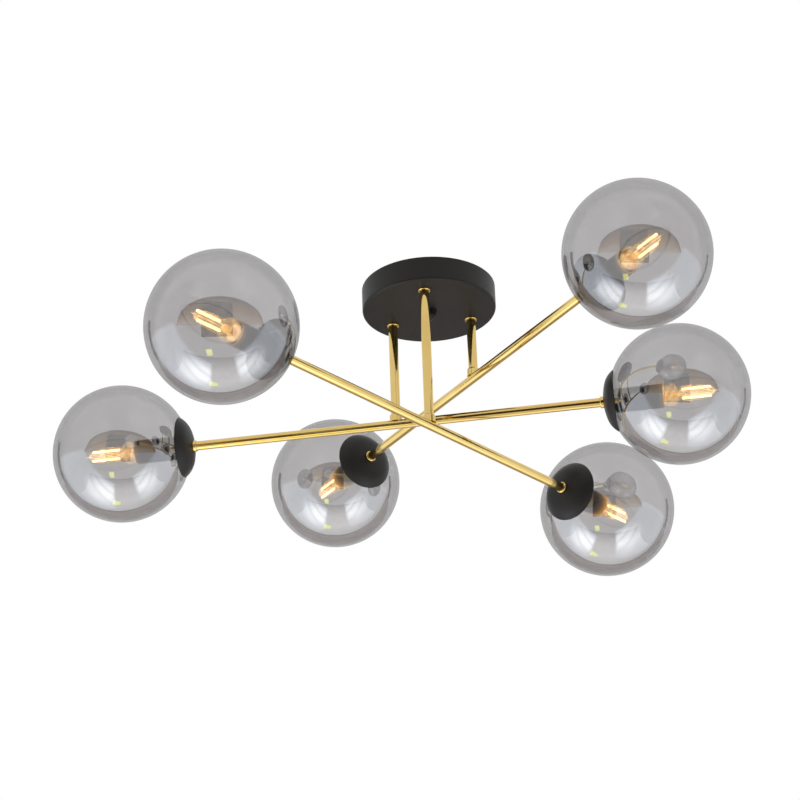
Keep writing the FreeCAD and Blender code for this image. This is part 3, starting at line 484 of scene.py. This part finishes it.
def filament_paths():
    """Paths of the two thick sticks, and of the thin ones with the leads at both ends."""
    sticks = []
    wires = []
    for across, up in STICK_PLACES:
        near = Vector((across, up, STICK_TOP))
        far = Vector((across, up, STICK_END))
        if up:
            step = (far - near) / STICK_STEPS
            sticks.append(([near + step * index for index in range(STICK_STEPS + 1)],
                           STICK_RADIUS))
        else:
            wires.append(([near, (near + far) / 2, far], THIN_RADIUS))
        foot = Vector((across * LEAD_FOOT_SHARE, up * LEAD_FOOT_SHARE, LEAD_FOOT))
        wires.append(([foot, (foot + near) / 2 + Vector((0, 0, LEAD_RISE)), near], LEAD_RADIUS))
        tip = Vector((0, 0, TIP))
        bow = Vector((across, up, 0)) * TIP_BOW_SHARE
        wires.append(([far, (far + tip) / 2 + bow, tip], LEAD_RADIUS))
    wires.append(([Vector((0, 0, height)) for height in MIDDLE_WIRE_HEIGHTS],
                  MIDDLE_WIRE_RADIUS))
    return sticks, wires


def make_filaments(arm, side):
    """Glass mount and fine wires with painted glow, lit filaments, and the amber glow painted in
    the bulb's glass.
    """
    place = lamp_matrix(arm, side)
    body = f"arm_{arm}"
    name = f"bulb_{arm}_{side}"
    sticks, wires = filament_paths()
    pieces = [
        add_mesh(name + "_sticks", rods(sticks, STICK_SIDES), FILAMENT, place, body),
        add_mesh(name + "_wires", rods(wires, WIRE_SIDES), WIRE_PAINTED_GLOW, place, body),
    ]
    for ending, outline, steps, material in TURNED:
        pieces.append(add_mesh(name + ending, lathe(outline, steps), material, place, body,
                               TURNED_SMOOTH_ANGLE))
    for piece in pieces:
        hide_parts(f"filaments_{arm}")


GLOBE_RADIUS = 75.0
GLOBE_WALL = 2.5
GLOBE_INNER = GLOBE_RADIUS - GLOBE_WALL
GLOBE_SMOOTH_ANGLE = 40.0
NECK_BORE = 18.5
NECK_WALL = 2.2
NECK_RADIUS = NECK_BORE + NECK_WALL
NECK_END = 75.0
NECK_LIP = 0.6
LIP_CORNER = 0.2
LUG_FOOT = 73.4
LUG_RADIUS = 22.2
LUG_HALF_WIDTH = 6.0
LUG_COUNT = 3
LUG_STEPS = 6
LUG_OVERLAP = 0.1
SPHERE_STEPS = 56
TURN_STEPS = 112


def globe_outline():
    """Outline of the globe's wall: the ball's outside, the neck's rounded lip, the inside."""
    outline = []
    far = math.asin(NECK_RADIUS / GLOBE_RADIUS)
    for step in range(SPHERE_STEPS + 1):
        angle = math.pi - (math.pi - far) * step / SPHERE_STEPS
        outline.append((GLOBE_RADIUS * math.sin(angle), GLOBE_RADIUS * math.cos(angle)))
    outline[0] = (0.0, -GLOBE_RADIUS)
    outline += [
        (NECK_RADIUS, NECK_END - NECK_LIP), (NECK_RADIUS - LIP_CORNER, NECK_END - LIP_CORNER),
        (NECK_RADIUS - NECK_LIP, NECK_END), (NECK_BORE + NECK_LIP, NECK_END),
        (NECK_BORE + LIP_CORNER, NECK_END - LIP_CORNER), (NECK_BORE, NECK_END - NECK_LIP),
    ]
    near = math.asin(NECK_BORE / GLOBE_INNER)
    for step in range(SPHERE_STEPS + 1):
        angle = near + (math.pi - near) * step / SPHERE_STEPS
        outline.append((GLOBE_INNER * math.sin(angle), GLOBE_INNER * math.cos(angle)))
    outline[-1] = (0.0, -GLOBE_INNER)
    return outline


def add_lugs(mesh):
    """Add the lugs round the neck's end."""
    section = ((NECK_RADIUS - LUG_OVERLAP, LUG_FOOT), (LUG_RADIUS, LUG_FOOT),
               (LUG_RADIUS, NECK_END - LUG_OVERLAP),
               (NECK_RADIUS - LUG_OVERLAP, NECK_END - LUG_OVERLAP))
    reach = math.asin(LUG_HALF_WIDTH / LUG_RADIUS)
    form = bmesh.new()
    form.from_mesh(mesh)
    for number in range(LUG_COUNT):
        turn = 2 * math.pi * number / LUG_COUNT
        corners = []
        for step in range(LUG_STEPS + 1):
            angle = turn - reach + 2 * reach * step / LUG_STEPS
            corners.append([
                form.verts.new((math.cos(angle) * radius, math.sin(angle) * radius, height))
                for radius, height in section
            ])
        for one, two in zip(corners, corners[1:]):
            for index in range(4):
                following = (index + 1) % 4
                form.faces.new((one[index], one[following], two[following], two[index]))
        form.faces.new(list(reversed(corners[0])))
        form.faces.new(corners[-1])
    form.to_mesh(mesh)
    form.free()


def make_globe(arm, side):
    """Blown ball with a short neck and three lugs, coated outside and plain inside."""
    name = f"globe_{arm}_{side}"
    mesh = lathe(globe_outline(), TURN_STEPS)
    add_lugs(mesh)
    piece = add_mesh(name + "_glass", mesh, SMOKE, lamp_matrix(arm, side), name,
                     GLOBE_SMOOTH_ANGLE)
    mesh.materials.append(SMOKE_INSIDE)
    centre = Vector(JOINT_OF[name]["pos_m"])
    middle = (GLOBE_RADIUS - GLOBE_WALL / 2) * MM
    for face in mesh.polygons:
        if (face.center - centre).length < middle:
            face.material_index = 1
    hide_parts(name)


for arm_name in ARMS:
    for side_name in SIDES:
        make_filaments(arm_name, side_name)
        make_globe(arm_name, side_name)


# Camera at the photograph's viewing angle

CAMERA_ROLL = math.radians(-1.94)
CAMERA_FOCAL_PX = 2537.6
CAMERA_DISTANCE = 2.7685
CAMERA_LIFT = math.radians(26.405)
CAMERA_TURN = math.radians(-9.559)
CAMERA_ACROSS = 0.03096
CAMERA_UP = 0.12049
CAMERA_CLIP_END = 50.0
SENSOR_WIDTH_MM = 36.0
IMAGE_PX = 800


def make_camera():
    """Camera in front of the light and below it, looking up. Gives its own axes: right, up and
    forward."""
    look = Vector((math.sin(CAMERA_TURN), math.cos(CAMERA_TURN), 0))
    right = Vector((look.y, -look.x, 0))
    forward = look * math.cos(CAMERA_LIFT) + Vector((0, 0, math.sin(CAMERA_LIFT)))
    up = right.cross(forward)
    across = right * math.cos(CAMERA_ROLL) + up * math.sin(CAMERA_ROLL)
    above = up * math.cos(CAMERA_ROLL) - right * math.sin(CAMERA_ROLL)
    place = -forward * CAMERA_DISTANCE - across * CAMERA_ACROSS - above * CAMERA_UP
    data = bpy.data.cameras.new("camera")
    data.sensor_width = SENSOR_WIDTH_MM
    data.lens = CAMERA_FOCAL_PX / IMAGE_PX * data.sensor_width
    data.clip_end = CAMERA_CLIP_END
    camera = bpy.data.objects.new("camera", data)
    bpy.context.scene.collection.objects.link(camera)
    camera.matrix_world = axes_matrix(across, above, -forward, place)
    bpy.context.scene.camera = camera
    return across, above, forward


VIEW_RIGHT, VIEW_UP, VIEW_FORWARD = make_camera()


# Floor, world and lights

FLOOR_DEPTH = 3.2
FLOOR_SIZE = 60.0
FLOOR_LIFT = 0.3
STUDIO_BELOW = (0.62, 0.62, 0.62)
STUDIO_ABOVE = (0.78, 0.78, 0.78)


def make_floor():
    """Plain pale floor well below the light, lifted to a studio's white where the camera,
    a reflection or glass shows it. The light's shadow stays on it."""
    mesh = bpy.data.meshes.new("floor")
    half = FLOOR_SIZE / 2
    corners = [(-half, -half, -FLOOR_DEPTH), (half, -half, -FLOOR_DEPTH),
               (half, half, -FLOOR_DEPTH), (-half, half, -FLOOR_DEPTH)]
    mesh.from_pydata(corners, [], [(0, 1, 2, 3)])
    floor = bpy.data.objects.new("floor", mesh)
    bpy.context.scene.collection.objects.link(floor)
    material = speckled("pale_floor", (0.80, 0.80, 0.80), (0.84, 0.84, 0.84), (0.8, 0.9), 3.0)
    tree = material.node_tree
    shader = tree.nodes["Principled BSDF"]
    shader.inputs["Emission Color"].default_value = (1, 1, 1, 1)
    lift = add_range(tree, looked_at(tree), 0.0, FLOOR_LIFT)
    tree.links.new(lift, shader.inputs["Emission Strength"])
    mesh.materials.append(material)


def make_world():
    """White to the camera, in reflections and through glass; a soft grey light on the rest."""
    world = bpy.data.worlds.new("studio")
    bpy.context.scene.world = world
    world.use_nodes = True
    tree = world.node_tree
    tree.nodes.clear()
    output = tree.nodes.new("ShaderNodeOutputWorld")
    studio = tree.nodes.new("ShaderNodeBackground")
    white = tree.nodes.new("ShaderNodeBackground")
    white.inputs["Color"].default_value = (1, 1, 1, 1)
    coordinates = tree.nodes.new("ShaderNodeTexCoord")
    split = tree.nodes.new("ShaderNodeSeparateXYZ")
    tree.links.new(coordinates.outputs["Generated"], split.inputs["Vector"])
    height = add_range(tree, split.outputs["Z"], 0.0, 1.0, -1.0, 1.0)
    ramp = add_ramp(tree, height, [(0.0, STUDIO_BELOW), (1.0, STUDIO_ABOVE)])
    tree.links.new(ramp.outputs["Color"], studio.inputs["Color"])
    mix = mix_shaders(tree, looked_at(tree), studio.outputs["Background"],
                      white.outputs["Background"])
    tree.links.new(mix, output.inputs["Surface"])


AIM = Vector((0, 0, -0.14))
LAMP_DISTANCE = 1.8
LAMP_WIDTH = 3.0
LAMP_HEIGHT = 2.5
RIB_TURNS = 12.0
RIB_ROUNDNESS = 0.6
RIB_DEPTH = 0.55
CLOTH_RIB_DEPTH = 0.3
CLOTH_SHARE = 0.34
CLOTH_COLOR = (0.66, 0.80, 1.0)
CORE_COLOR = (0.88, 0.95, 1.0)
CORE_START = 0.44
CORE_END = 0.08
# Which way across the lamp, and where an edge's light starts and is full
LAMP_EDGES = (("Y", 0.0, 0.12), ("Y", 1.0, 0.80), ("X", 0.0, 0.10), ("X", 1.0, 0.90))


def light_face(tree, hub, core):
    """Strength and colour over a lamp's face. Its ribs spread from the hub and it is brightest
    round the core, both given as shares of its width and height."""
    place = tree.nodes.new("ShaderNodeNewGeometry")
    split = tree.nodes.new("ShaderNodeSeparateXYZ")
    tree.links.new(place.outputs["Parametric"], split.inputs["Vector"])

    def offsets(spot):
        return (add_math(tree, "SUBTRACT", split.outputs["X"], spot[0]),
                add_math(tree, "SUBTRACT", split.outputs["Y"], spot[1]))

    over, down = offsets(hub)
    angle = add_math(tree, "ARCTAN2", down, over)
    waves = add_math(tree, "SINE", add_math(tree, "MULTIPLY", angle, RIB_TURNS))
    bows = add_math(tree, "POWER", add_math(tree, "ABSOLUTE", waves), RIB_ROUNDNESS)
    ribs = add_math(tree, "ADD", add_math(tree, "MULTIPLY", bows, RIB_DEPTH), 1.0 - RIB_DEPTH)
    over, down = offsets(core)
    squares = add_math(tree, "ADD", add_math(tree, "POWER", over, 2.0),
                       add_math(tree, "POWER", down, 2.0))
    reach = add_math(tree, "SQRT", squares)
    near = add_range(tree, reach, 0.0, 1.0, CORE_START, CORE_END, smooth=True)
    glow = add_math(tree, "MULTIPLY", near, ribs)
    edges = 1.0
    for way, start, end in LAMP_EDGES:
        edge = add_range(tree, split.outputs[way], 0.0, 1.0, start, end, smooth=True)
        edges = add_math(tree, "MULTIPLY", edges, edge)
    folds = add_math(tree, "MULTIPLY", ribs, CLOTH_RIB_DEPTH)
    cloth = add_math(tree, "MULTIPLY", add_math(tree, "ADD", folds, 1.0 - CLOTH_RIB_DEPTH),
                     CLOTH_SHARE)
    strength = add_math(tree, "MULTIPLY", add_math(tree, "ADD", glow, cloth), edges)
    tint = add_ramp(tree, near, [(0.0, CLOTH_COLOR), (1.0, CORE_COLOR)])
    return strength, tint.outputs["Color"]


def make_lamp(name, across, above, forward, watts, hub, core):
    """Ribbed umbrella lamp in a direction given in the camera's own axes, aimed at the light."""
    direction = (VIEW_RIGHT * across + VIEW_UP * above + VIEW_FORWARD * forward).normalized()
    data = bpy.data.lights.new(name, "AREA")
    data.shape = "RECTANGLE"
    data.size = LAMP_WIDTH
    data.size_y = LAMP_HEIGHT
    data.energy = watts
    data.use_nodes = True
    tree = data.node_tree
    emission = tree.nodes["Emission"]
    strength, tint = light_face(tree, hub, core)
    tree.links.new(strength, emission.inputs["Strength"])
    tree.links.new(tint, emission.inputs["Color"])
    lamp = bpy.data.objects.new(name, data)
    bpy.context.scene.collection.objects.link(lamp)
    side = (VIEW_RIGHT - direction * VIEW_RIGHT.dot(direction)).normalized()
    top = side.cross(direction)
    lamp.matrix_world = axes_matrix(side, top, direction, AIM + direction * LAMP_DISTANCE)
    lamp.visible_camera = False


PANEL_COLUMNS = 24
PANEL_ROWS = 6
PANEL_NOISE_SCALE = 2.0
PANEL_DIM = 0.9
PANEL_BRIGHT = 1.1


def panel_mesh(name, left, right, foot, crest, distance, arched, lying):
    """Curved sheet round the light, with each point's height on it as a texture coordinate."""
    mesh = bpy.data.meshes.new(name)
    points = []
    for column in range(PANEL_COLUMNS + 1):
        share = 2 * column / PANEL_COLUMNS - 1
        turn = math.radians((left + right) / 2 + (right - left) / 2 * share)
        rise = math.sqrt(max(1 - share * share, 0.0)) if arched else 1.0
        for row in range(PANEL_ROWS + 1):
            lift = math.radians(foot + (crest - foot) * rise * row / PANEL_ROWS)
            across = 1.0 if lying else math.cos(lift)
            above = math.cos(turn) if lying else 1.0
            direction = (VIEW_RIGHT * math.sin(turn) * across + VIEW_UP * math.sin(lift) * above
                         - VIEW_FORWARD * math.cos(turn) * math.cos(lift))
            points.append(AIM + direction * distance)
    stride = PANEL_ROWS + 1
    starts = [column * stride + row for column in range(PANEL_COLUMNS)
              for row in range(PANEL_ROWS)]
    faces = [(start, start + 1, start + stride + 1, start + stride) for start in starts]
    mesh.from_pydata([tuple(point) for point in points], [], faces)
    heights = mesh.uv_layers.new(name="height").data
    for loop in mesh.loops:
        heights[loop.index].uv = (0.5, loop.vertex_index % stride / PANEL_ROWS)
    return mesh


def make_panel(name, colors, left, right, foot, crest, distance, arched=False, lying=False):
    """Panel round the light that only reflections show, so that glass and brass don't look
    flat. It is given by the angles that it covers as seen from the light, from straight behind
    the camera to the right and up, and by its colours from the foot to the crest. A lying
    panel's sides meet out to the left and right, and not straight below."""
    mesh = panel_mesh(name, left, right, foot, crest, distance, arched, lying)
    panel = bpy.data.objects.new(name, mesh)
    bpy.context.scene.collection.objects.link(panel)
    material, tree, shader, _ = new_material(name)
    spread = tree.nodes.new("ShaderNodeUVMap")
    split = tree.nodes.new("ShaderNodeSeparateXYZ")
    tree.links.new(spread.outputs["UV"], split.inputs["Vector"])
    stops = [(index / (len(colors) - 1), color) for index, color in enumerate(colors)]
    ramp = add_ramp(tree, split.outputs["Y"], stops)
    tree.links.new(ramp.outputs["Color"], shader.inputs["Emission Color"])
    noise = add_noise(tree, PANEL_NOISE_SCALE)
    strength = add_range(tree, noise.outputs["Fac"], PANEL_DIM, PANEL_BRIGHT)
    tree.links.new(strength, shader.inputs["Emission Strength"])
    shader.inputs["Base Color"].default_value = (0, 0, 0, 1)
    shader.inputs["Roughness"].default_value = 1.0
    mesh.materials.append(material)
    panel.visible_camera = False
    panel.visible_transmission = False
    panel.visible_diffuse = False
    panel.visible_shadow = False


DARK = [(0.02, 0.02, 0.02), (0.03, 0.03, 0.03)]
DOOR = [(0.08, 0.045, 0.02), (0.02, 0.009, 0.002)]
YELLOW = [(2.5, 2.7, 0.9), (2.7, 2.9, 1.0)]
WALL = [(0.82, 0.72, 0.60), (0.50, 0.30, 0.14), (0.10, 0.04, 0.004)]
PALE_FLOOR = [(1.1, 1.1, 1.1), (1.6, 1.6, 1.6), (1.4, 1.4, 1.4), (0.5, 0.5, 0.5)]
BROWN_FLOOR = [(0.46, 0.40, 0.38), (0.52, 0.45, 0.42)]

make_floor()
make_world()
make_lamp("lamp_left", -0.80, -0.585, -0.12, 44.0, (0.15, -0.05), (0.80, 0.38))
make_lamp("lamp_right", 0.79, -0.565, -0.23, 38.0, (0.85, -0.05), (0.20, 0.38))
make_panel("brown_wall_panel", WALL, -62.0, 62.0, 2.0, 41.0, 3.3, arched=True)
make_panel("dark_door_panel", DOOR, -27.0, 15.0, -13.0, 33.0, 3.2)
make_panel("left_edge_panel", DARK, -126.0, -118.0, -26.0, 6.0, 3.2)
make_panel("right_edge_panel", DARK, 118.0, 124.0, -24.0, 4.0, 3.2)
make_panel("yellow_near_panel", YELLOW, -24.5, -15.5, -38.0, -29.0, 3.1)
make_panel("yellow_far_panel", YELLOW, -106.0, -66.0, -82.0, -73.0, 2.95)
make_panel("pale_floor_panel", PALE_FLOOR, -50.0, 50.0, -109.0, -42.0, 3.0, lying=True)
make_panel("floor_edge_panel", DARK, -62.0, 62.0, -150.0, -109.0, 3.04, arched=True, lying=True)
make_panel("brown_floor_panel", BROWN_FLOOR, -62.0, 62.0, -150.0, -111.5, 3.02, arched=True,
           lying=True)

bpy.context.scene.view_settings.view_transform = "Standard"
